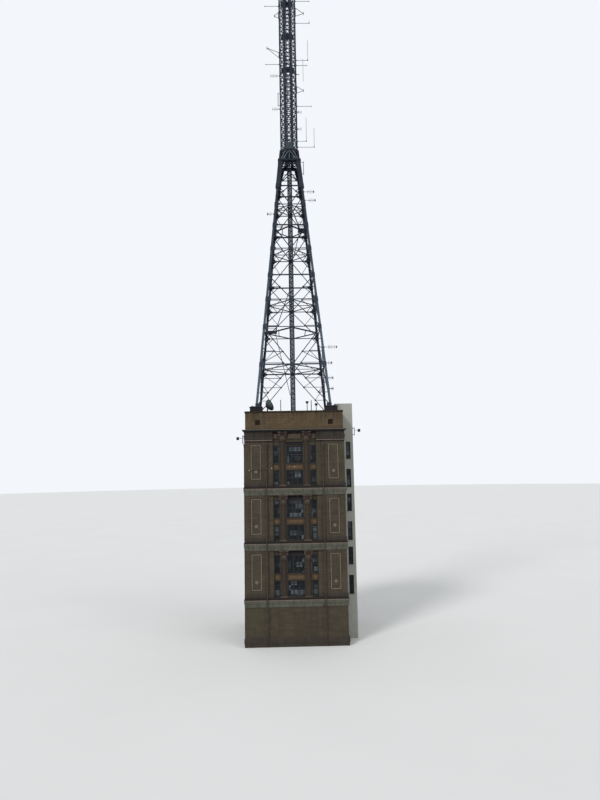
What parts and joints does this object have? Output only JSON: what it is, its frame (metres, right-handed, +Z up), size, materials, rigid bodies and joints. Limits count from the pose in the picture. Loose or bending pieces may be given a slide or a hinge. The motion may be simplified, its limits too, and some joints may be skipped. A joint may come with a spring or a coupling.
{
  "type": "lattice radio mast on a masonry tower, 1:10 scale model",
  "caption": "Tapering square steel lattice mast with an eight-sided upper part, standing on a hollow square masonry tower with a rendered window bay.",
  "frame": {"origin": "middle of the square tower's foot, on the ground", "axes": "+Z up, -Y towards the viewer of the picture, +X to the viewer's right, where the rendered bay stands"},
  "size_m": [1.375, 1.1314, 9.2299],
  "materials": {
    "stone": "weathered tan masonry",
    "moulding_stone": "darker weathered masonry",
    "concrete": "plain concrete",
    "roofing": "grey roofing",
    "window_paint": "off-white paint",
    "glass": "dark window glass",
    "render": "painted render",
    "block_paint": "dark brown blocks",
    "mast_paint": "blue-grey paint, weathered",
    "dark_mast_paint": "dark blue-grey paint, weathered"
  },
  "bodies": {
    "root": {"front_wall": "stone", "back_wall": "stone", "left_wall": "stone", "right_wall": "stone", "ledges": "moulding_stone", "entablature": "moulding_stone", "parapet": "stone", "floors": "concrete", "roof_deck": "roofing", "engaged_columns": "stone", "window_frames_front": "window_paint", "window_frames_back": "window_paint", "window_frames_left": "window_paint", "window_glass": "glass", "bay_outer_wall": "render", "bay_side_walls": "render", "bay_head_wall": "render", "bay_roof": "roofing", "bay_window_frames": "window_paint", "mast_blocks": "block_paint", "leg_front_left": "mast_paint", "leg_front_right": "mast_paint", "leg_back_left": "mast_paint", "leg_back_right": "mast_paint", "bracing_front": "dark_mast_paint", "bracing_right": "dark_mast_paint", "bracing_back": "dark_mast_paint", "bracing_left": "dark_mast_paint", "plan_bracing": "dark_mast_paint", "middle_column": "dark_mast_paint", "ladders": "mast_paint", "rest_platforms": "dark_mast_paint", "neck_frame": "dark_mast_paint", "upper_uprights": "mast_paint", "upper_sides_front_back": "dark_mast_paint", "upper_sides_left_right": "dark_mast_paint", "upper_sides_diagonal_one": "dark_mast_paint", "upper_sides_diagonal_two": "dark_mast_paint", "upper_decks": "dark_mast_paint", "top_ring": "dark_mast_paint", "aerial_arms": "dark_mast_paint", "whip_aerials": "dark_mast_paint", "yagi_aerials": "dark_mast_paint", "roof_dish": "dark_mast_paint", "roof_aerials": "dark_mast_paint"}
  },
  "joints": []
}
